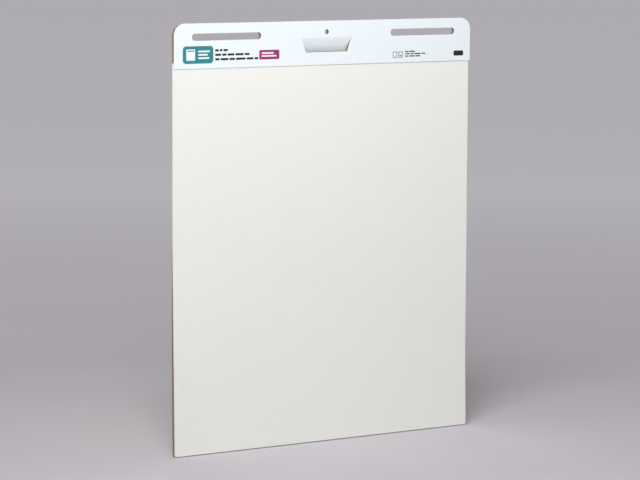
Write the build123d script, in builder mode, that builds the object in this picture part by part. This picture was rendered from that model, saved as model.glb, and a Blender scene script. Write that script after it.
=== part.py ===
"""A self-stick flip chart pad: thirty paper sheets on a corrugated rear board, under a white card header.

The frame is in millimetres: +X to the right, +Y to the back and +Z up. The origin is under the
middle of the pad's lower edge, half way through its thickness. The layers lie one behind the other
along Y, and the rear board's front face is at y = 0.
"""

import math
import os

from build123d import *

# The whole pad
PAD_WIDTH = 635.0
PAD_HEIGHT = 775.0

# Corrugated board: a fluted paper between two liners. The flutes run up and down.
LINER_THICKNESS = 0.2
FLUTE_HEIGHT = 2.3
FLUTE_COUNT = 100
FLUTE_PAPER = 0.2
BOARD_THICKNESS = FLUTE_HEIGHT + 2 * LINER_THICKNESS
LOWER_CORNER_RADIUS = 3.0

# Header card: one white card folded over the top of the boards
CARD_THICKNESS = 0.5
CARD_CORNER_RADIUS = 21.0
CARD_FRONT_HEIGHT = 80.0
CARD_BACK_HEIGHT = 70.0

# Sheets, held between the header card's front and the rear board, under the header spacer
SHEET_COUNT = 30
SHEET_THICKNESS = BOARD_THICKNESS / SHEET_COUNT
SHEET_TOP_Z = PAD_HEIGHT - 69.5
SHEET_BOTTOM_Z = 1.0

# Hanging slots and centre hole, which go through the whole header
SLOT_SPACING = 420.0
SLOT_LENGTH = 142.4
SLOT_WIDTH = 12.5
SLOT_Z = PAD_HEIGHT - 24.1
CENTRE_HOLE_RADIUS = 4.5
CENTRE_HOLE_Z = PAD_HEIGHT - 19.9

# Hand opening: a trapezoid, wider at its top, and the flap that the header card leaves in it
OPENING_TOP_Z = PAD_HEIGHT - 29.6
OPENING_BOTTOM_Z = PAD_HEIGHT - 56.7
OPENING_TOP_WIDTH = 107.0
OPENING_BOTTOM_WIDTH = 88.4
FLAP_CLEARANCE = 0.3
FLAP_REST_DEG = 10.0

# How far under the header card's lower edge the front sheet's turning part begins
LEAF_TOP_GAP = 0.7

# Worked out from the sizes above
BOARD_TOP_Z = PAD_HEIGHT - CARD_THICKNESS
BOARD_CORNER_RADIUS = CARD_CORNER_RADIUS - CARD_THICKNESS
CARD_BOTTOM_Z = PAD_HEIGHT - CARD_FRONT_HEIGHT
STACK_FRONT_Y = -BOARD_THICKNESS
LEAF_TOP_Z = CARD_BOTTOM_Z - LEAF_TOP_GAP
CREASE_Y = STACK_FRONT_Y - CARD_THICKNESS / 2
CREASE_Z = OPENING_TOP_Z - FLAP_CLEARANCE - CARD_THICKNESS / 2


def front_view(back_y):
    """The plane that a layer is drawn on: X to the right, Z up, with its back face at this depth."""
    return Plane.XZ.offset(-back_y)


def save(piece, name):
    """Labels a finished piece and writes it to its own file."""
    piece.part.label = name
    export_step(piece.part, f"parts/{name}.step")


def draw_upright_panel(bottom_z, top_z, lower_radius, upper_radius):
    """Draws a panel of the pad's full width, with rounded corners where the radius isn't zero."""
    with Locations((0, bottom_z)):
        Rectangle(PAD_WIDTH, top_z - bottom_z, align=(Align.CENTER, Align.MIN))
    if lower_radius:
        fillet(vertices().group_by(Axis.Y)[0], lower_radius)
    if upper_radius:
        fillet(vertices().group_by(Axis.Y)[-1], upper_radius)


def cut_header_openings():
    """Cuts the two slots, the centre hole and the hand opening out of the layer being drawn."""
    with Locations((-SLOT_SPACING / 2, SLOT_Z), (SLOT_SPACING / 2, SLOT_Z)):
        SlotOverall(SLOT_LENGTH, SLOT_WIDTH, mode=Mode.SUBTRACT)
    with Locations((0, CENTRE_HOLE_Z)):
        Circle(CENTRE_HOLE_RADIUS, mode=Mode.SUBTRACT)
    Polygon(
        (-OPENING_TOP_WIDTH / 2, OPENING_TOP_Z),
        (OPENING_TOP_WIDTH / 2, OPENING_TOP_Z),
        (OPENING_BOTTOM_WIDTH / 2, OPENING_BOTTOM_Z),
        (-OPENING_BOTTOM_WIDTH / 2, OPENING_BOTTOM_Z),
        align=None,
        mode=Mode.SUBTRACT,
    )


def draw_flute(front_y):
    """Draws the fluted paper in plan, as a flat-crested wave from the front liner to the back one."""
    quarter_wave = PAD_WIDTH / FLUTE_COUNT / 4
    crest_y = front_y + FLUTE_HEIGHT - FLUTE_PAPER
    front_side = []
    for step in range(4 * FLUTE_COUNT + 1):
        x = step * quarter_wave - PAD_WIDTH / 2
        y = front_y if step % 4 < 2 else crest_y
        front_side.append((x, y))
    back_side = [(x, y + FLUTE_PAPER) for x, y in reversed(front_side)]
    Polygon(*front_side, *back_side, align=None)


def build_corrugated_board(name, front_y, bottom_z, lower_radius):
    """Makes a board of three nodes: its two liners and the fluted paper between them."""
    liners = {
        "front_liner": front_y + LINER_THICKNESS,
        "back_liner": front_y + BOARD_THICKNESS,
    }
    for liner_name, back_y in liners.items():
        with BuildPart() as liner:
            with BuildSketch(front_view(back_y)):
                draw_upright_panel(bottom_z, BOARD_TOP_Z, lower_radius, BOARD_CORNER_RADIUS)
                cut_header_openings()
            extrude(amount=LINER_THICKNESS)
        save(liner, f"{name}_{liner_name}")

    with BuildPart() as flute:
        with BuildSketch(Plane.XY.offset(bottom_z)):
            draw_flute(front_y + LINER_THICKNESS)
        extrude(amount=BOARD_TOP_Z - bottom_z)
        with BuildSketch(front_view(front_y + BOARD_THICKNESS)):
            draw_upright_panel(bottom_z, BOARD_TOP_Z, lower_radius, BOARD_CORNER_RADIUS)
            cut_header_openings()
        extrude(amount=BOARD_THICKNESS, mode=Mode.INTERSECT)
    save(flute, f"{name}_flute")


def build_header_card():
    """Makes the folded card: a front panel, a strip over the boards' top and a back panel."""
    with BuildPart() as header_card:
        with BuildSketch(front_view(STACK_FRONT_Y)):
            draw_upright_panel(CARD_BOTTOM_Z, PAD_HEIGHT, 0, CARD_CORNER_RADIUS)
            cut_header_openings()
        extrude(amount=CARD_THICKNESS)
        with BuildSketch(front_view(BOARD_THICKNESS + CARD_THICKNESS)):
            draw_upright_panel(PAD_HEIGHT - CARD_BACK_HEIGHT, PAD_HEIGHT, 0, CARD_CORNER_RADIUS)
            cut_header_openings()
        extrude(amount=CARD_THICKNESS)
        with BuildSketch(Plane.XY.offset(BOARD_TOP_Z)):
            Rectangle(PAD_WIDTH - 2 * CARD_CORNER_RADIUS, 2 * (BOARD_THICKNESS + CARD_THICKNESS))
        extrude(amount=CARD_THICKNESS)
    save(header_card, "header_card")


def build_handle_flap():
    """Makes the flap in the hand opening, hung from its crease and leaning back a little at rest."""
    lean = math.radians(FLAP_REST_DEG)
    flap_plane = Plane(
        origin=(0, CREASE_Y, CREASE_Z),
        x_dir=(1, 0, 0),
        z_dir=(0, -math.cos(lean), -math.sin(lean)),
    )
    side_slope = (OPENING_TOP_WIDTH - OPENING_BOTTOM_WIDTH) / 2 / (OPENING_TOP_Z - OPENING_BOTTOM_Z)
    length = CREASE_Z - OPENING_BOTTOM_Z - FLAP_CLEARANCE
    half_top = OPENING_TOP_WIDTH / 2 - side_slope * (OPENING_TOP_Z - CREASE_Z) - FLAP_CLEARANCE
    half_bottom = half_top - side_slope * length
    with BuildPart() as handle_flap:
        with BuildSketch(flap_plane):
            Polygon(
                (-half_top, 0),
                (half_top, 0),
                (half_bottom, -length),
                (-half_bottom, -length),
                align=None,
            )
        extrude(amount=CARD_THICKNESS / 2, both=True)
        with BuildSketch(Plane.YZ.offset(-half_top)):
            with Locations((CREASE_Y, CREASE_Z)):
                Circle(CARD_THICKNESS / 2)
        extrude(amount=2 * half_top)
    save(handle_flap, "handle_flap")


def build_sheet(name, number, bottom_z, top_z, lower_radius):
    """Makes one sheet, or a part of one. Sheet number 1 is the front one."""
    with BuildPart() as sheet:
        with BuildSketch(front_view(STACK_FRONT_Y + number * SHEET_THICKNESS)):
            draw_upright_panel(bottom_z, top_z, lower_radius, 0)
        extrude(amount=SHEET_THICKNESS)
    save(sheet, name)


os.makedirs("parts", exist_ok=True)

build_corrugated_board("rear_board", 0, 0, LOWER_CORNER_RADIUS)
build_corrugated_board("header_spacer", -BOARD_THICKNESS, SHEET_TOP_Z, 0)
build_header_card()
build_handle_flap()

# The front sheet turns about the header card's lower edge, so the strip of it that stays under the
# header is a node of its own. The sheets behind it are whole.
build_sheet("sheet_01_leaf", 1, SHEET_BOTTOM_Z, LEAF_TOP_Z, LOWER_CORNER_RADIUS)
build_sheet("sheet_01_top_strip", 1, LEAF_TOP_Z, SHEET_TOP_Z, 0)
for number in range(2, SHEET_COUNT + 1):
    build_sheet(f"sheet_{number:02d}", number, SHEET_BOTTOM_Z, SHEET_TOP_Z, LOWER_CORNER_RADIUS)
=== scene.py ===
"""Looks of the self-stick flip chart pad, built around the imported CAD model.

Everything is in metres in the CAD frame: +X to the right, +Y to the back and +Z up. The origin is
under the middle of the pad's lower edge. The pieces made here are the paper sheets, which bow
forward, the rear board, which bulges backwards, the handle flap, which curls, the crease that it
hangs from, and the header's printing. The header card and its spacer are the frame's own.
"""

import math
import random

import bmesh
import bpy
from mathutils import Matrix, Vector


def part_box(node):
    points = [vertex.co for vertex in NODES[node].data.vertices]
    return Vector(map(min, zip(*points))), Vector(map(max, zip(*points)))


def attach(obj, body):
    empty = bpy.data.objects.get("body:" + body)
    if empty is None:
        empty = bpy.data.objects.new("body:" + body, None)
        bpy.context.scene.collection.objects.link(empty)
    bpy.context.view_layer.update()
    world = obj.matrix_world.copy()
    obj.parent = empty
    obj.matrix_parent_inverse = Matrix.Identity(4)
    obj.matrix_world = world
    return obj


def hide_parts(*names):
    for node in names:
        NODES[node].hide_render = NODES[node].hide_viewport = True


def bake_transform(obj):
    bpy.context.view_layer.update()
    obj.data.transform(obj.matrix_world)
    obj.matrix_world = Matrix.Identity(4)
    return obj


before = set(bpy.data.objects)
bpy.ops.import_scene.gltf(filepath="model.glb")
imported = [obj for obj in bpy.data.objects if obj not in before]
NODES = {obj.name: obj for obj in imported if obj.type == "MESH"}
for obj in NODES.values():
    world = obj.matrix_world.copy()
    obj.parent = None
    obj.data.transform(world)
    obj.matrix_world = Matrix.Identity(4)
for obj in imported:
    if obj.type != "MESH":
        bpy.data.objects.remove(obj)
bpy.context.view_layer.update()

MM = 0.001

# Faces that meet at less than this angle are shaded as one smooth surface.
SMOOTH_UNDER_DEG = 30

# The camera, in the CAD frame
CAMERA_PLACE = Vector((-2.7366, -4.3691, 0.9978))
CAMERA_YAW_DEG = -31.966
CAMERA_PITCH_DEG = -6.91
CAMERA_ROLL_DEG = 0.29
CAMERA_LENS_MM = 159.1

# Sheets. They lie a little to the left on their board, with edges that are not quite even.
SHEET_COUNT = 30
SHEET_GAP = 0.02 * MM
SHEET_SHIFT_X = -2.0 * MM
SHEET_TRIM = 0.5 * MM
SHEET_CORNER_RADIUS = 3 * MM
UNEVEN_EDGES = 0.25 * MM
LIFT_OF_LOWER_EDGES = 0.5 * MM
CLUMP_SEED = 7
EDGE_SEED = 100

# How finely a sheet's mesh is divided across its width, and down each stretch of its height
SHOWN_SHEET_COLUMNS = 40
BUNDLED_SHEET_COLUMNS = 20
HIDDEN_ROWS = 3
FOLD_ROWS = 18
PRESSED_ROWS = 8
FLAT_ROWS = 8
BOW_ROWS = 40
CORNER_ROWS = 6

# The sheets bow forward below a height. The front ones bow more than the rear ones, by this share.
LEFT_BOW_START_Z = 390 * MM
RIGHT_BOW_START_Z = 150 * MM
LEFT_BOW = 7.0 * MM
RIGHT_BOW = 3.9 * MM
BOW_POWER = 1.1
FAN = 0.12

# Where they bow they also swell, in two waves across the width. A wave turns one radian per length.
SWELL_HEIGHT = 0.5 * MM
LONG_SWELL = 72 * MM
SHORT_SWELL = 31 * MM

# The header presses the stack together at its edge, and the front sheet folds just below it.
PRESSED_IN = 0.45 * MM
PRESSED_HEIGHT = 30 * MM
FOLD_ZONE = 7.5 * MM

# Rear board, which bulges backwards a little between its lower edge and this height
BULGE_TOP_Z = 420 * MM
BOARD_BULGE = 2.6 * MM
BULGE_STEPS = 16

# Handle flap, which leans back at its crease and curls further back towards its lower edge
FLAP_LEAN_DEG = 10
FLAP_CURL_DEG = 14
FLAP_STEPS = 24

# The crease's strip reaches up into the header and down over the flap. Both it and the flap are
# thinner than the card by this much on each side, so that their faces never lie in the card's.
CREASE_REACH_UP = 0.4 * MM
CREASE_REACH_DOWN = 0.5 * MM
CREASE_SIDE_GAP = 0.05 * MM
FACE_GAP = 0.005 * MM

# Header printing, all of it plain shapes: ink that stands a little above the card and sinks into it
INK_THICKNESS = 0.02 * MM
INK_SINK = 0.01 * MM

# Floor, whose colour turns paler between two distances from the pad: painted light, as if the far floor
# were lit more brightly
FLOOR_RADIUS = 60
FLOOR_SIDES = 96
FLOOR_GAP = 0.1 * MM
PAINTED_LIGHT_FROM = 1.0
PAINTED_LIGHT_FULL_FROM = 4.5

CARD_LO, CARD_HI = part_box("header_card")
FLAP_LO, FLAP_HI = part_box("handle_flap")
LEAF_LO, LEAF_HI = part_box("sheet_01_leaf")
STACK_LO, STACK_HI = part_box("sheet_02")
BOARD_LO, BOARD_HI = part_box("rear_board_front_liner")

FLUTE_COUNT = 100
FLUTE_PITCH = (BOARD_HI.x - BOARD_LO.x) / FLUTE_COUNT
SHEET_PITCH = STACK_LO.y - LEAF_LO.y
SHEET_PAPER = SHEET_PITCH - SHEET_GAP
HALF_WIDTH = (LEAF_HI.x - LEAF_LO.x) / 2 - SHEET_TRIM
CARD_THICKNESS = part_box("header_spacer_front_liner")[0].y - CARD_LO.y


# ---------------------------------------------------------------------------------------------
# Shader helpers
# ---------------------------------------------------------------------------------------------

def add_node(tree, kind, inputs=None, **settings):
    """Adds a shader node. inputs maps a socket to a value, or to another node's output."""
    made = tree.nodes.new(kind)
    for name, value in settings.items():
        setattr(made, name, value)
    for socket, value in (inputs or {}).items():
        if isinstance(value, bpy.types.NodeSocket):
            tree.links.new(value, made.inputs[socket])
        else:
            made.inputs[socket].default_value = value
    return made


def calculate(tree, operation, first, second=0.0, third=0.0):
    """A Math node's result."""
    inputs = {0: first, 1: second, 2: third}
    return add_node(tree, "ShaderNodeMath", inputs, operation=operation).outputs[0]


def stretched(tree, cells_per_metre):
    """Object coordinates scaled so that one unit is one cell, with its own size along each axis."""
    coordinates = add_node(tree, "ShaderNodeTexCoord").outputs["Object"]
    return add_node(
        tree,
        "ShaderNodeMapping",
        {"Vector": coordinates, "Scale": cells_per_metre},
    ).outputs[0]


def noise(tree, cells_per_metre, detail=3.0, roughness=0.55, distortion=0.0):
    """Noise from 0 to 1, with about this many cells in a metre along each axis."""
    return add_node(
        tree,
        "ShaderNodeTexNoise",
        {
            "Vector": stretched(tree, cells_per_metre),
            "Scale": 1.0,
            "Detail": detail,
            "Roughness": roughness,
            "Distortion": distortion,
        },
    ).outputs["Fac"]


def remap(tree, value, low, high, new_low=0.0, new_high=1.0):
    """Stretches low..high to new_low..new_high and cuts off what lies outside."""
    return add_node(
        tree,
        "ShaderNodeMapRange",
        {"Value": value, "From Min": low, "From Max": high, "To Min": new_low, "To Max": new_high},
    ).outputs["Result"]


def mix(tree, share, first, second):
    """A colour between two others. The node's sockets 6, 7 and 2 are its colours A, B and result."""
    return add_node(
        tree,
        "ShaderNodeMix",
        {"Factor": share, 6: first, 7: second},
        data_type="RGBA",
    ).outputs[2]


def bump(tree, height, depth, strength=1.0, below=None):
    """A bump of this depth in metres, on top of another bump if there is one."""
    inputs = {"Height": height, "Distance": depth, "Strength": strength}
    if below is not None:
        inputs["Normal"] = below
    return add_node(tree, "ShaderNodeBump", inputs).outputs["Normal"]


def start_material(name):
    """A new material's node tree and its main shader."""
    material = bpy.data.materials.new(name)
    material.use_nodes = True
    return material, material.node_tree, material.node_tree.nodes["Principled BSDF"]


def connect(tree, shader, colour, roughness, normal):
    """Links a material's three varying surface values."""
    tree.links.new(colour, shader.inputs["Base Color"])
    tree.links.new(roughness, shader.inputs["Roughness"])
    tree.links.new(normal, shader.inputs["Normal"])


# ---------------------------------------------------------------------------------------------
# Materials
# ---------------------------------------------------------------------------------------------

def make_sheet_paper():
    """Uncoated white bond paper: cloudy formation, fine fibres and a dry, soft surface."""
    material, tree, shader = start_material("sheet_paper")
    shader.inputs["Specular IOR Level"].default_value = 0.3
    clouds = noise(tree, (160, 160, 160), detail=4)
    fibres = noise(tree, (2600, 2600, 1500), detail=3, distortion=0.4)
    hand_marks = noise(tree, (9, 9, 5), detail=2)
    tone = calculate(tree, "MULTIPLY_ADD", clouds, 0.5, calculate(tree, "MULTIPLY", fibres, 0.5))
    white = mix(tree, remap(tree, tone, 0.3, 0.7), (0.825, 0.833, 0.79, 1), (0.855, 0.866, 0.825, 1))
    colour = mix(tree, remap(tree, hand_marks, 0.55, 0.75, 0, 0.25), white, (0.82, 0.81, 0.775, 1))
    roughness = remap(tree, tone, 0.3, 0.7, 0.74, 0.9)
    normal = bump(tree, clouds, 0.03 * MM, 0.5)
    normal = bump(tree, fibres, 0.012 * MM, 0.6, normal)
    connect(tree, shader, colour, roughness, normal)
    return material


def make_sheet_edge():
    """The cut edges of the sheets: a little warmer than their faces, with streaks from the knife."""
    material, tree, shader = start_material("sheet_edge")
    streaks = noise(tree, (500, 9000, 500), detail=3)
    patches = noise(tree, (25, 25, 25), detail=3)
    colour = mix(tree, remap(tree, streaks, 0.3, 0.7), (0.66, 0.62, 0.54, 1), (0.84, 0.82, 0.76, 1))
    colour = mix(tree, remap(tree, patches, 0.5, 0.7, 0, 0.5), colour, (0.7, 0.66, 0.58, 1))
    roughness = remap(tree, streaks, 0.3, 0.7, 0.8, 0.95)
    connect(tree, shader, colour, roughness, bump(tree, streaks, 0.02 * MM))
    return material


def make_header_card():
    """White card with a smooth printed side. Its cut edges and its inner side are bare and brown."""
    material, tree, shader = start_material("header_card")
    shader.inputs["Coat Weight"].default_value = 0.12
    shader.inputs["Coat Roughness"].default_value = 0.3
    coordinates = add_node(tree, "ShaderNodeTexCoord")
    facing = add_node(tree, "ShaderNodeSeparateXYZ", {0: coordinates.outputs["Normal"]})
    place = add_node(tree, "ShaderNodeSeparateXYZ", {0: coordinates.outputs["Object"]})

    # The fold over the top is outer side, though it faces upwards. The margin keeps clear of rounding.
    margin = 0.1 * MM
    fold_z = CARD_HI.z - CARD_THICKNESS - margin
    is_fold = calculate(tree, "GREATER_THAN", place.outputs["Z"], fold_z)
    turned = calculate(tree, "LESS_THAN", calculate(tree, "ABSOLUTE", facing.outputs["Y"]), 0.5)
    is_edge = calculate(tree, "MULTIPLY", turned, calculate(tree, "SUBTRACT", 1.0, is_fold))
    faces_back = calculate(tree, "GREATER_THAN", facing.outputs["Y"], 0.5)
    is_inside = calculate(tree, "LESS_THAN", place.outputs["Y"], CARD_HI.y - margin)
    is_bare = calculate(tree, "MULTIPLY", faces_back, is_inside)

    mottle = noise(tree, (120, 120, 120), detail=4)
    pores = noise(tree, (1700, 1700, 1700), detail=2)
    fibres = noise(tree, (900, 900, 2600), detail=4, distortion=0.8)
    rubbed = noise(tree, (14, 14, 30), detail=5, roughness=0.7)
    white = mix(tree, remap(tree, mottle, 0.35, 0.65), (0.83, 0.905, 0.94, 1), (0.855, 0.925, 0.955, 1))
    white = mix(tree, remap(tree, rubbed, 0.62, 0.8, 0, 0.2), white, (0.79, 0.81, 0.815, 1))
    bare = mix(tree, remap(tree, fibres, 0.3, 0.7), (0.38, 0.31, 0.24, 1), (0.52, 0.45, 0.37, 1))
    cut = mix(tree, remap(tree, fibres, 0.3, 0.7), (0.28, 0.21, 0.15, 1), (0.42, 0.34, 0.26, 1))
    colour = mix(tree, is_bare, mix(tree, is_edge, white, cut), bare)

    unprinted = calculate(tree, "MAXIMUM", is_bare, is_edge)
    smooth = remap(tree, rubbed, 0.3, 0.75, 0.36, 0.5)
    rough = remap(tree, fibres, 0.3, 0.7, 0.8, 0.92)
    rougher = calculate(tree, "SUBTRACT", rough, smooth)
    roughness = calculate(tree, "MULTIPLY_ADD", unprinted, rougher, smooth)
    normal = bump(tree, mottle, 0.02 * MM, 0.4)
    normal = bump(tree, pores, 0.006 * MM, 0.5, normal)
    connect(tree, shader, colour, roughness, normal)
    return material


def make_kraft(name, dark, light, washboard):
    """Brown board paper: long fibres, specks, and faint ridges where the flute is glued behind it."""
    material, tree, shader = start_material(name)
    shader.inputs["Specular IOR Level"].default_value = 0.25
    coordinates = add_node(tree, "ShaderNodeTexCoord")
    place = add_node(tree, "ShaderNodeSeparateXYZ", {0: coordinates.outputs["Object"]})
    turn = calculate(tree, "MULTIPLY", place.outputs["X"], 2 * math.pi / FLUTE_PITCH)
    ridge = calculate(tree, "SINE", turn)

    fibres = noise(tree, (2300, 2300, 420), detail=5, roughness=0.65, distortion=0.6)
    clouds = noise(tree, (42, 42, 30), detail=5, roughness=0.6)
    specks = noise(tree, (1500, 1500, 700), detail=1)
    scuffs = noise(tree, (11, 11, 17), detail=6, roughness=0.72)
    tone = calculate(tree, "MULTIPLY_ADD", fibres, 0.6, calculate(tree, "MULTIPLY", clouds, 0.4))
    colour = mix(tree, remap(tree, tone, 0.32, 0.68), dark, light)
    darker = tuple(0.5 * part for part in dark[:3]) + (1,)
    paler = tuple(min(1.0, 1.35 * part) for part in light[:3]) + (1,)
    colour = mix(tree, remap(tree, specks, 0.66, 0.74, 0, 0.6), colour, darker)
    colour = mix(tree, remap(tree, specks, 0.34, 0.26, 0, 0.5), colour, paler)
    colour = mix(tree, remap(tree, ridge, -1, 1, 0, 0.16 * washboard), colour, darker)
    colour = mix(tree, remap(tree, scuffs, 0.6, 0.78, 0, 0.35), colour, paler)
    roughness = remap(tree, tone, 0.3, 0.7, 0.74, 0.93)
    normal = bump(tree, ridge, 0.05 * MM, washboard)
    normal = bump(tree, fibres, 0.03 * MM, 0.7, normal)
    connect(tree, shader, colour, roughness, normal)
    return material


def make_ink(name, colour):
    """Printing ink on card: a thin, slightly glossy film with the card's mottle showing through."""
    material, tree, shader = start_material(name)
    mottle = noise(tree, (420, 420, 420), detail=4)
    paler = tuple(1.15 * part + 0.012 for part in colour[:3]) + (1,)
    varied = mix(tree, remap(tree, mottle, 0.35, 0.7), colour, paler)
    roughness = remap(tree, mottle, 0.3, 0.7, 0.34, 0.5)
    connect(tree, shader, varied, roughness, bump(tree, mottle, 0.01 * MM, 0.4))
    return material


def make_floor_paper():
    """The seamless pale grey paper that the pad stands on. Its colour is painted paler further away:
    painted light, as if the far floor were lit more brightly.
    """
    material, tree, shader = start_material("floor_paper")
    shader.inputs["Specular IOR Level"].default_value = 0.2
    grain = noise(tree, (700, 700, 700), detail=3)
    clouds = noise(tree, (2.2, 2.2, 2.2), detail=3)
    coordinates = add_node(tree, "ShaderNodeTexCoord").outputs["Object"]
    length = add_node(tree, "ShaderNodeVectorMath", {0: coordinates}, operation="LENGTH")
    # Painted light: the colour turns paler with distance from the pad, as if the far floor were lit more
    # brightly.
    painted_light_share = remap(tree, length.outputs["Value"], PAINTED_LIGHT_FROM, PAINTED_LIGHT_FULL_FROM)
    near = mix(tree, remap(tree, clouds, 0.3, 0.7), (0.56, 0.53, 0.565, 1), (0.58, 0.55, 0.585, 1))
    colour = mix(tree, painted_light_share, near, (0.93, 0.895, 0.945, 1))
    roughness = remap(tree, grain, 0.3, 0.7, 0.8, 0.95)
    connect(tree, shader, colour, roughness, bump(tree, grain, 0.05 * MM, 0.3))
    return material


# ---------------------------------------------------------------------------------------------
# Mesh helpers
# ---------------------------------------------------------------------------------------------

def shade(mesh):
    """Shades a mesh smooth over gentle bends and crisp at sharp ones."""
    mesh.shade_smooth()
    mesh.set_sharp_from_angle(angle=math.radians(SMOOTH_UNDER_DEG))


def make_object(name, vertices, faces, materials, face_materials):
    """A mesh object from vertices, faces, and each face's place in the list of materials."""
    mesh = bpy.data.meshes.new(name)
    mesh.from_pydata(vertices, [], faces)
    for material in materials:
        mesh.materials.append(material)
    mesh.polygons.foreach_set("material_index", face_materials)
    shade(mesh)
    mesh.validate()
    made = bpy.data.objects.new(name, mesh)
    bpy.context.scene.collection.objects.link(made)
    return made


def spread(start, end, steps):
    """Evenly spaced values from start up to but not with end."""
    return [start + (end - start) * step / steps for step in range(steps)]


def closed_card(front_rows, back_rows):
    """A thin closed card from the points of its two sides, given in rows from its top to its bottom.

    Each face comes with its kind: 0 on the two sides and 1 on the cut edges.
    """
    last_row = len(front_rows) - 1
    last_column = len(front_rows[0]) - 1
    vertices = [point for row in front_rows + back_rows for point in row]
    to_back = len(vertices) // 2

    def at(row, column):
        """The number of a point on the front side."""
        return row * (last_column + 1) + column

    faces = []
    for row in range(last_row):
        for column in range(last_column):
            left_side = (at(row, column), at(row + 1, column))
            right_side = (at(row + 1, column + 1), at(row, column + 1))
            corners = left_side + right_side
            faces.append(corners)
            faces.append(tuple(corner + to_back for corner in reversed(corners)))
    kinds = [0] * len(faces)

    outline = [at(0, column) for column in range(last_column)]
    outline += [at(row, last_column) for row in range(last_row)]
    outline += [at(last_row, column) for column in range(last_column, 0, -1)]
    outline += [at(row, 0) for row in range(last_row, 0, -1)]
    for here, after in zip(outline, outline[1:] + outline[:1]):
        faces.append((here, after, after + to_back, here + to_back))
        kinds.append(1)
    return vertices, faces, kinds


# ---------------------------------------------------------------------------------------------
# Sheets
# ---------------------------------------------------------------------------------------------

def sheet_place(number):
    """A sheet's share of the fan: 0 for the rear sheet, 1 for the front one, with clumps between."""
    clumps = random.Random(CLUMP_SEED)
    gaps = [clumps.random() ** 3 for _ in range(SHEET_COUNT - 1)]
    return sum(gaps[number - 1:]) / sum(gaps)


def forward_bow(x, z, share):
    """How far in front of its flat place a sheet stands at x, z. The left side bows more."""
    across = (x / HALF_WIDTH + 1) / 2
    start_z = LEFT_BOW_START_Z + (RIGHT_BOW_START_Z - LEFT_BOW_START_Z) * across
    amount = LEFT_BOW + (RIGHT_BOW - LEFT_BOW) * across
    drop = max(0.0, 1 - z / start_z)
    wave = 1 + 0.6 * math.sin(x / LONG_SWELL + 0.8) + 0.4 * math.sin(x / SHORT_SWELL + 2.0)
    swell = SWELL_HEIGHT * (0.6 + 0.4 * share) * wave / 2 * drop
    return amount * (1 + FAN * (share - 0.5)) * drop**BOW_POWER + swell


def pressed_back(z, number):
    """How far the header presses a sheet back: fully above its edge, and less and less below it."""
    pressure = max(0.0, min(1.0, 1 - (LEAF_HI.z - z) / PRESSED_HEIGHT))
    eased = pressure**2 * (3 - 2 * pressure)
    return PRESSED_IN * (SHEET_COUNT - number) / (SHEET_COUNT - 1) * eased


def sheet_rows(top, bottom):
    """Heights of a sheet's mesh rows, dense where it folds, bows and rounds its corners."""
    fold_top = LEAF_HI.z
    fold_bottom = fold_top - FOLD_ZONE
    pressed_bottom = fold_top - PRESSED_HEIGHT
    rows = spread(top, fold_top, HIDDEN_ROWS)
    rows += spread(fold_top, fold_bottom, FOLD_ROWS)
    rows += spread(fold_bottom, pressed_bottom, PRESSED_ROWS)
    rows += spread(pressed_bottom, LEFT_BOW_START_Z, FLAT_ROWS)
    rows += spread(LEFT_BOW_START_Z, bottom + SHEET_CORNER_RADIUS, BOW_ROWS)
    turns = spread(0, math.pi / 2, CORNER_ROWS) + [math.pi / 2]
    rows += [bottom + SHEET_CORNER_RADIUS * (1 - math.sin(turn)) for turn in turns]
    return rows


def half_width_at(z, bottom):
    """Half a sheet's width at a height, less where its lower corners are round."""
    into_corner = max(0.0, (bottom + SHEET_CORNER_RADIUS - z) / SHEET_CORNER_RADIUS)
    inset = SHEET_CORNER_RADIUS * (1 - math.sqrt(max(0.0, 1 - into_corner**2)))
    return HALF_WIDTH - inset


def sheet_points(number, columns, depth):
    """The points of a sheet's front at depth 0, or of its back at the paper's thickness."""
    chance = random.Random(EDGE_SEED + number)
    shift_x = SHEET_SHIFT_X + chance.uniform(-UNEVEN_EDGES, UNEVEN_EDGES)
    bottom = LEAF_LO.z + LIFT_OF_LOWER_EDGES + chance.uniform(-UNEVEN_EDGES, UNEVEN_EDGES)
    flat_y = LEAF_LO.y + (number - 1) * SHEET_PITCH + SHEET_GAP / 2 + depth
    share = sheet_place(number)
    rows = []
    for z in sheet_rows(STACK_HI.z, bottom):
        half_width = half_width_at(z, bottom)
        row = []
        for column in range(columns + 1):
            x = shift_x + half_width * (2 * column / columns - 1)
            row.append((x, flat_y - forward_bow(x, z, share) + pressed_back(z, number), z))
        rows.append(row)
    return rows


def make_sheets(name, numbers, columns, materials):
    """One object that holds some of the pad's sheets."""
    vertices, faces, kinds = [], [], []
    for number in numbers:
        first = len(vertices)
        points, sheet_faces, sheet_kinds = closed_card(
            sheet_points(number, columns, 0.0),
            sheet_points(number, columns, SHEET_PAPER),
        )
        vertices += points
        faces += [tuple(first + corner for corner in face) for face in sheet_faces]
        kinds += sheet_kinds
    sheets = make_object(name, vertices, faces, materials, kinds)
    return sheets


def make_front_sheet(materials):
    """The front sheet, whole, as one piece, made unturned. Its top stays under the header, and on the
    pad the rest turns at the header's edge.
    """
    sheet = make_sheets("front_sheet", [1], SHOWN_SHEET_COLUMNS, materials)
    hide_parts("sheet_01_leaf", "sheet_01_top_strip")
    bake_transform(sheet)


def make_rear_sheets(materials):
    """The second sheet, which shows when the front one turns, and the rest in three bundles."""
    bundles = {
        "sheet_02_whole": range(2, 3),
        "sheets_03_to_11": range(3, 12),
        "sheets_12_to_20": range(12, 21),
        "sheets_21_to_30": range(21, 31),
    }
    for name, numbers in bundles.items():
        columns = BUNDLED_SHEET_COLUMNS if len(numbers) > 1 else SHOWN_SHEET_COLUMNS
        bundle = make_sheets(name, numbers, columns, materials)
        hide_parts(*[f"sheet_{number:02d}" for number in numbers])
        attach(bundle, "pad")


# ---------------------------------------------------------------------------------------------
# Header
# ---------------------------------------------------------------------------------------------

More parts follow.
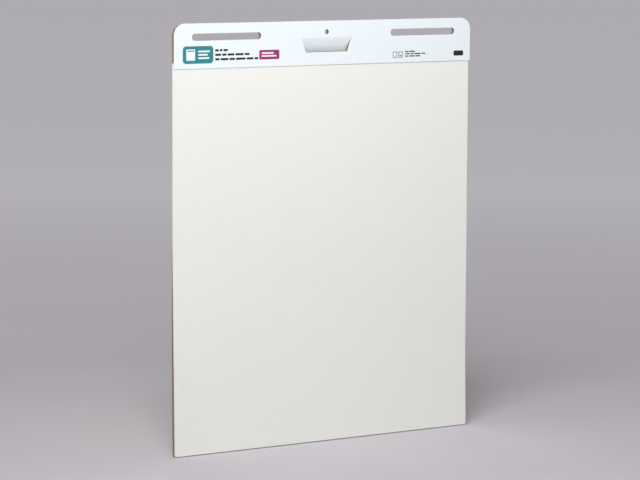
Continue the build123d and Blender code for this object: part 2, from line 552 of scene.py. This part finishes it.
def make_handle_crease(material):
    """A flat strip of card between the header and the handle flap, which closes the crease."""
    front_y = CARD_LO.y + FACE_GAP
    back_y = CARD_LO.y + CARD_THICKNESS - FACE_GAP
    half_width = FLAP_HI.x - CREASE_SIDE_GAP
    bottom_z = FLAP_HI.z - CREASE_REACH_DOWN
    heights = spread(FLAP_HI.z + CREASE_REACH_UP, bottom_z, 8) + [bottom_z]
    places = spread(-half_width, half_width, 16) + [half_width]
    front = [[(x, front_y, z) for x in places] for z in heights]
    back = [[(x, back_y, z) for x in places] for z in heights]
    vertices, faces, kinds = closed_card(front, back)
    crease = make_object("handle_crease", vertices, faces, [material], [0] * len(kinds))
    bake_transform(crease)


def make_handle_flap(material):
    """The flap, which leans back from its crease and curls a little more towards its lower edge."""
    half_thickness = CARD_THICKNESS / 2 - FACE_GAP
    step_length = (FLAP_HI.z - FLAP_LO.z) / FLAP_STEPS
    top_half_width = FLAP_HI.x
    node_points = [vertex.co for vertex in NODES["handle_flap"].data.vertices]
    lower_points = [point for point in node_points if point.z < FLAP_LO.z + 1 * MM]
    bottom_half_width = max(point.x for point in lower_points)
    y = CARD_LO.y + CARD_THICKNESS / 2
    z = FLAP_HI.z - CARD_THICKNESS / 2
    front, back = [], []
    for step in range(FLAP_STEPS + 1):
        share = step / FLAP_STEPS
        lean = math.radians(FLAP_LEAN_DEG + FLAP_CURL_DEG * share)
        half_width = top_half_width + (bottom_half_width - top_half_width) * share
        places = spread(-half_width, half_width, 24) + [half_width]
        to_face_y = half_thickness * math.cos(lean)
        to_face_z = half_thickness * math.sin(lean)
        front.append([(x, y - to_face_y, z - to_face_z) for x in places])
        back.append([(x, y + to_face_y, z + to_face_z) for x in places])
        y += step_length * math.sin(lean)
        z -= step_length * math.cos(lean)
    vertices, faces, kinds = closed_card(front, back)
    flap = make_object("curled_handle_flap", vertices, faces, [material], [0] * len(kinds))
    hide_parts("handle_flap")
    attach(flap, "handle_flap")


def rounded_bar(left, top, right, bottom, radius):
    """An outline with round corners. Its sizes are in mm from the header's left end and its top."""
    centres = (
        (right - radius, top + radius),
        (left + radius, top + radius),
        (left + radius, bottom - radius),
        (right - radius, bottom - radius),
    )
    points = []
    for quarter, (x, down) in enumerate(centres):
        for step in range(6):
            turn = math.pi / 2 * (quarter + step / 5)
            points.append((x + radius * math.cos(turn), down - radius * math.sin(turn)))
    return points


def make_header_print(inks):
    """Plain printed shapes where the header carries its marks: a badge, bars for text and a label."""
    vertices, faces, face_materials = [], [], []

    def stamp(outline, ink, layer=1):
        """Adds one shape as a thin closed prism. A higher layer lies over a lower one."""
        first = len(vertices)
        count = len(outline)
        front_y = CARD_LO.y - layer * INK_THICKNESS
        for y in (front_y, CARD_LO.y + INK_SINK):
            vertices.extend((CARD_LO.x + x * MM, y, CARD_HI.z - down * MM) for x, down in outline)
        faces.append(tuple(first + point for point in range(count)))
        faces.append(tuple(first + count + point for point in reversed(range(count))))
        for point in range(count):
            after = (point + 1) % count
            faces.append((first + after, first + point, first + count + point, first + count + after))
        face_materials.extend([ink] * (count + 2))

    def stamp_words(left, top, line_pitch, height, gap, radius, lines):
        """Stamps lines of words as plain dark bars, from the lengths of the words in each line."""
        for number, lengths in enumerate(lines):
            word_left = left
            word_top = top + line_pitch * number
            for length in lengths:
                bar = rounded_bar(word_left, word_top, word_left + length, word_top + height, radius)
                stamp(bar, dark)
                word_left += length + gap

    # The inks, in the order that they are given in
    teal, dark, plum, white = range(4)

    # A badge with a small flip chart on it
    stamp(rounded_bar(18, 40, 80, 71, 6), teal)
    stamp(rounded_bar(25, 45.5, 43, 65.5, 1.2), white, 2)
    stamp(rounded_bar(27, 47.5, 41, 49.5, 0.4), teal, 3)
    for line, right in enumerate((73, 69, 72)):
        stamp(rounded_bar(49, 48 + 6 * line, right, 51 + 6 * line, 1.2), white, 2)

    # Three lines of words
    stamp_words(
        left=84,
        top=46.4,
        line_pitch=8,
        height=3.8,
        gap=2.2,
        radius=0.8,
        lines=((7, 5.5, 9), (12, 9, 14, 17, 10), (9, 16, 11, 20, 14, 8)),
    )

    # A label
    stamp(rounded_bar(175, 50, 217, 67, 2), plum)
    for line, right in enumerate((205, 211)):
        stamp(rounded_bar(180, 54.2 + 5.2 * line, right, 57 + 5.2 * line, 0.9), white, 2)

    # Two small sheets and the words beside them
    for left in (462, 474.5):
        stamp(rounded_bar(left, 60, left + 9.5, 71, 0.8), dark)
        stamp(rounded_bar(left + 1.2, 61.2, left + 8.3, 69.8, 0.4), white, 2)
    stamp(rounded_bar(477, 66.5, 481.5, 68.3, 0.4), dark, 3)
    stamp_words(
        left=489,
        top=59,
        line_pitch=4.3,
        height=2.2,
        gap=1.8,
        radius=0.6,
        lines=((8, 12), (11, 6, 14, 9), (7, 13, 10)),
    )

    # A plain dark mark at the right end
    stamp(rounded_bar(598, 61, 620, 70.5, 2.4), dark)

    header_print = make_object("header_print", vertices, faces, inks, face_materials)
    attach(header_print, "pad")


# ---------------------------------------------------------------------------------------------
# Boards and CAD nodes
# ---------------------------------------------------------------------------------------------

def bulged_copy(node, name):
    """A copy of a node's mesh, cut across at even heights and pushed backwards in a half wave."""
    shape = bmesh.new()
    shape.from_mesh(NODES[node].data)
    for height in spread(0, BULGE_TOP_Z, BULGE_STEPS)[1:] + [BULGE_TOP_Z]:
        everything = shape.verts[:] + shape.edges[:] + shape.faces[:]
        bmesh.ops.bisect_plane(shape, geom=everything, plane_co=(0, 0, height), plane_no=(0, 0, 1))
    for vertex in shape.verts:
        rise = min(1.0, vertex.co.z / BULGE_TOP_Z)
        vertex.co.y += BOARD_BULGE * math.sin(math.pi * rise)
    mesh = bpy.data.meshes.new(name)
    shape.to_mesh(mesh)
    shape.free()
    return mesh


def make_rear_board(liner, flute):
    """The rear board's three layers, which bulge backwards together."""
    for layer, material in (("front_liner", liner), ("flute", flute), ("back_liner", liner)):
        node = f"rear_board_{layer}"
        mesh = bulged_copy(node, f"bulged_{layer}")
        mesh.materials.append(material)
        shade(mesh)
        board = bpy.data.objects.new(f"bulged_{layer}", mesh)
        bpy.context.scene.collection.objects.link(board)
        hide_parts(node)
        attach(board, "pad")


def dress(node, material):
    """Gives a CAD node its material."""
    mesh = NODES[node].data
    mesh.materials.clear()
    mesh.materials.append(material)


def dress_cad_nodes(card, liner, flute):
    """Materials for the CAD nodes that show: the header card and the board strip inside it."""
    dress("header_card", card)
    dress("header_spacer_front_liner", liner)
    dress("header_spacer_back_liner", liner)
    dress("header_spacer_flute", flute)


# ---------------------------------------------------------------------------------------------
# Stage
# ---------------------------------------------------------------------------------------------

def make_floor():
    """A wide round floor just under the pad."""
    turns = spread(0, 2 * math.pi, FLOOR_SIDES)
    rim = [(FLOOR_RADIUS * math.cos(turn), FLOOR_RADIUS * math.sin(turn), -FLOOR_GAP) for turn in turns]
    floor = make_object("floor", rim, [tuple(range(FLOOR_SIDES))], [make_floor_paper()], [0])


def add_softbox(name, place, target, size, power, spread_deg, colour):
    """A square area light that faces a target and keeps its light within an angle."""
    light = bpy.data.lights.new(name, "AREA")
    light.size = size
    light.energy = power
    light.spread = math.radians(spread_deg)
    light.color = colour
    box = bpy.data.objects.new(name, light)
    box.location = place
    box.rotation_mode = "QUATERNION"
    box.rotation_quaternion = (Vector(target) - Vector(place)).to_track_quat("-Z", "Y")
    box.visible_camera = False
    bpy.context.scene.collection.objects.link(box)


def add_broad_light(name, azimuth_deg, elevation_deg, strength, spread_deg):
    """Even light from far away. Azimuth 0 comes from the front and negative ones from the left."""
    light = bpy.data.lights.new(name, "SUN")
    light.energy = strength
    light.angle = math.radians(spread_deg)
    azimuth = math.radians(azimuth_deg)
    elevation = math.radians(elevation_deg)
    towards = Vector((
        math.sin(azimuth) * math.cos(elevation),
        -math.cos(azimuth) * math.cos(elevation),
        math.sin(elevation),
    ))
    sun = bpy.data.objects.new(name, light)
    sun.rotation_mode = "QUATERNION"
    sun.rotation_quaternion = (-towards).to_track_quat("-Z", "Y")
    bpy.context.scene.collection.objects.link(sun)


def make_lights():
    """A large soft light at the upper left, smaller ones, a dim one for the back, and an even room."""
    add_softbox(
        "main_light",
        place=(-1.5, -1.5, 2.1),
        target=(0, 0, 0.45),
        size=1.4,
        power=44.6,
        spread_deg=180,
        colour=(1, 1, 0.985),
    )
    add_softbox(
        "header_light",
        place=(-0.6, -1.5, 1.9),
        target=(0.1, 0, 1.0),
        size=0.8,
        power=1.2,
        spread_deg=56,
        colour=(1, 1, 0.98),
    )
    add_softbox(
        "rear_light",
        place=(0.8, 1.9, 0.5),
        target=(0, 0, 0.6),
        size=0.5,
        power=1.75,
        spread_deg=40,
        colour=(1, 1, 1),
    )
    add_broad_light("overhead_light", azimuth_deg=-36, elevation_deg=52, strength=0.9, spread_deg=24)
    world = bpy.data.worlds.new("room")
    world.use_nodes = True
    background = world.node_tree.nodes["Background"]
    background.inputs["Color"].default_value = (0.97, 0.97, 1.0, 1)
    background.inputs["Strength"].default_value = 0.25
    bpy.context.scene.world = world
    bpy.context.scene.view_settings.view_transform = "Standard"


def make_camera():
    """The camera, looking down at the pad's front from its left."""
    lens = bpy.data.cameras.new("camera")
    lens.lens = CAMERA_LENS_MM
    lens.sensor_width = 36
    lens.clip_end = 200
    camera = bpy.data.objects.new("camera", lens)
    yaw = Matrix.Rotation(math.radians(CAMERA_YAW_DEG), 4, "Z")
    pitch = Matrix.Rotation(math.radians(90 + CAMERA_PITCH_DEG), 4, "X")
    roll = Matrix.Rotation(math.radians(CAMERA_ROLL_DEG), 4, "Z")
    camera.matrix_world = Matrix.Translation(CAMERA_PLACE) @ yaw @ pitch @ roll
    bpy.context.scene.collection.objects.link(camera)
    bpy.context.scene.camera = camera


# ---------------------------------------------------------------------------------------------
# The whole scene
# ---------------------------------------------------------------------------------------------

make_camera()
make_lights()
make_floor()

card_material = make_header_card()
liner_material = make_kraft(
    "kraft_liner",
    dark=(0.26, 0.165, 0.095, 1),
    light=(0.43, 0.3, 0.185, 1),
    washboard=1.0,
)
flute_material = make_kraft(
    "kraft_flute",
    dark=(0.2, 0.135, 0.085, 1),
    light=(0.34, 0.245, 0.16, 1),
    washboard=0.0,
)
dress_cad_nodes(card_material, liner_material, flute_material)
make_rear_board(liner_material, flute_material)

sheet_materials = [make_sheet_paper(), make_sheet_edge()]
make_front_sheet(sheet_materials)
make_rear_sheets(sheet_materials)

make_handle_crease(card_material)
make_handle_flap(card_material)
make_header_print([
    make_ink("ink_teal", (0.02, 0.22, 0.24, 1)),
    make_ink("ink_dark", (0.008, 0.009, 0.011, 1)),
    make_ink("ink_plum", (0.3, 0.02, 0.16, 1)),
    make_ink("ink_white", (0.84, 0.86, 0.87, 1)),
])
